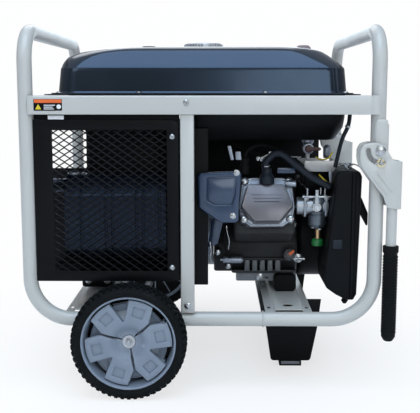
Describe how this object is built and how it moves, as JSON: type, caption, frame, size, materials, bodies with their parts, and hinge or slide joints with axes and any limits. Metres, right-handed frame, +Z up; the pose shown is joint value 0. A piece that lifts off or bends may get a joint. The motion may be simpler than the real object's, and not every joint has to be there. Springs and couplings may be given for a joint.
{
  "type": "portable generator",
  "caption": "Open-frame petrol generator: tube frame with tank on top, engine and alternator inside, two wheels, a support leg and folding handles.",
  "frame": {"origin": "middle of the outline, on the ground under the machine", "axes": "+X along the machine towards the folding handles, +Y towards the control panel side, +Z up"},
  "size_m": [0.719, 0.716, 0.7028],
  "materials": {
    "frame_paint": "pale cool off-white powder coat, satin",
    "black_paint": "black powder coat, satin",
    "tank_gloss": "gloss black paint",
    "grey_paint": "mid grey paint",
    "blue_black_paint": "dark blue-black paint, satin gloss",
    "rubber": "black rubber, matt",
    "tyre_rubber": "black tyre rubber",
    "rim_plastic": "blue-grey moulded plastic",
    "black_plastic": "black moulded plastic",
    "cast_alloy": "satin cast aluminium",
    "dark_alloy": "dark painted cast aluminium",
    "zinc_steel": "zinc plated steel",
    "rotor_core": "laminated iron with copper windings",
    "red_plastic": "red moulded plastic",
    "cap_metal": "knurled plated cap"
  },
  "bodies": {
    "frame": {"frame_hoop_left": "frame_paint", "frame_hoop_right": "frame_paint", "top_rail_near": "frame_paint", "top_rail_far": "frame_paint", "center_post_near": "frame_paint", "center_post_far": "frame_paint", "cross_channel_left": "frame_paint", "cross_channel_right": "frame_paint", "tank_upper_shell": "tank_gloss", "tank_lower_shell": "black_paint", "vent_hose": "rubber", "axle": "zinc_steel", "support_leg": "black_paint", "leg_foot_near": "rubber", "leg_foot_far": "rubber", "pivot_bolt_near": "zinc_steel", "pivot_bolt_far": "zinc_steel", "muffler_guard": "black_paint", "guard_mesh": "black_paint", "muffler": "black_paint", "crankcase": "dark_alloy", "cylinder": "dark_alloy", "valve_cover": "cast_alloy", "exhaust_shield": "blue_black_paint", "spark_plug_cap": "rubber", "carburetor": "cast_alloy", "air_cleaner_base": "black_plastic", "air_cleaner_cover": "black_plastic", "breather_hose": "rubber", "blower_housing": "black_paint", "recoil_cover": "black_paint", "engine_rail": "grey_paint", "alternator_housing": "cast_alloy", "alternator_end_bell": "dark_alloy", "engine_mount_near": "rubber", "engine_mount_far": "rubber", "alternator_mount_near": "rubber", "alternator_mount_far": "rubber", "control_panel_box": "black_paint", "control_panel_face": "black_plastic", "battery": "black_plastic"},
    "wheel_near": {"tyre_near": "tyre_rubber", "rim_near": "rim_plastic"},
    "wheel_far": {"tyre_far": "tyre_rubber", "rim_far": "rim_plastic"},
    "handle_near": {"handle_arm_near": "frame_paint", "handle_grip_near": "rubber"},
    "handle_far": {"handle_arm_far": "frame_paint", "handle_grip_far": "rubber"},
    "cap": {"fuel_cap": "cap_metal"},
    "fuel_lever": {"fuel_valve_lever": "red_plastic"},
    "choke": {"choke_lever": "zinc_steel"},
    "latch": {"air_cleaner_latch": "zinc_steel"},
    "oil_filler_cap": {"oil_cap": "black_plastic"},
    "starter_grip": {"recoil_grip": "black_plastic"},
    "crank_train": {"crankshaft": "zinc_steel", "flywheel_fan": "dark_alloy", "rotor": "rotor_core"},
    "breaker": {"main_breaker": "black_plastic"},
    "key": {"key_switch": "zinc_steel"}
  },
  "joints": [
    {"name": "wheel_near_spin", "type": "hinge", "parent": "frame", "child": "wheel_near", "pos_m": [-0.1515, -0.333, 0.11], "axis": [0, 1, 0], "continuous": true},
    {"name": "wheel_far_spin", "type": "hinge", "parent": "frame", "child": "wheel_far", "pos_m": [-0.1515, 0.333, 0.11], "axis": [0, 1, 0], "continuous": true},
    {"name": "handle_near_fold", "type": "hinge", "parent": "frame", "child": "handle_near", "pos_m": [0.3175, -0.295, 0.4674], "axis": [0, -1, 0], "range_deg": [0, 90]},
    {"name": "handle_far_fold", "type": "hinge", "parent": "frame", "child": "handle_far", "pos_m": [0.3175, 0.295, 0.4674], "axis": [0, -1, 0], "range_deg": [0, 90]},
    {"name": "fuel_cap_turn", "type": "hinge", "parent": "frame", "child": "cap", "pos_m": [-0.0161, 0, 0.672], "axis": [0, 0, 1], "range_deg": [0, 90]},
    {"name": "fuel_lever_turn", "type": "hinge", "parent": "frame", "child": "fuel_lever", "pos_m": [0.1995, -0.171, 0.461], "axis": [0, 1, 0], "range_deg": [0, 90]},
    {"name": "choke_turn", "type": "hinge", "parent": "frame", "child": "choke", "pos_m": [0.2115, -0.222, 0.349], "axis": [0, -1, 0], "range_deg": [0, 60]},
    {"name": "latch_swing", "type": "hinge", "parent": "frame", "child": "latch", "pos_m": [0.2625, -0.163, 0.429], "axis": [0, -1, 0], "range_deg": [0, 110]},
    {"name": "oil_cap_turn", "type": "hinge", "parent": "frame", "child": "oil_filler_cap", "pos_m": [0.1665, -0.13, 0.236], "axis": [0, -1, 0], "range_deg": [0, 180]},
    {"name": "recoil_pull", "type": "slide", "parent": "frame", "child": "starter_grip", "axis": [1, 0, 0], "range_m": [0, 0.6], "stiffness_N_per_m": 40},
    {"name": "crank_spin", "type": "hinge", "parent": "frame", "child": "crank_train", "pos_m": [-0.0145, 0, 0.278], "axis": [1, 0, 0], "continuous": true},
    {"name": "breaker_rock", "type": "hinge", "parent": "frame", "child": "breaker", "pos_m": [0.0385, 0.268, 0.434], "axis": [1, 0, 0], "range_deg": [0, 26]},
    {"name": "key_turn", "type": "hinge", "parent": "frame", "child": "key", "pos_m": [0.2475, 0.27, 0.436], "axis": [0, 1, 0], "range_deg": [0, 90]}
  ]
}
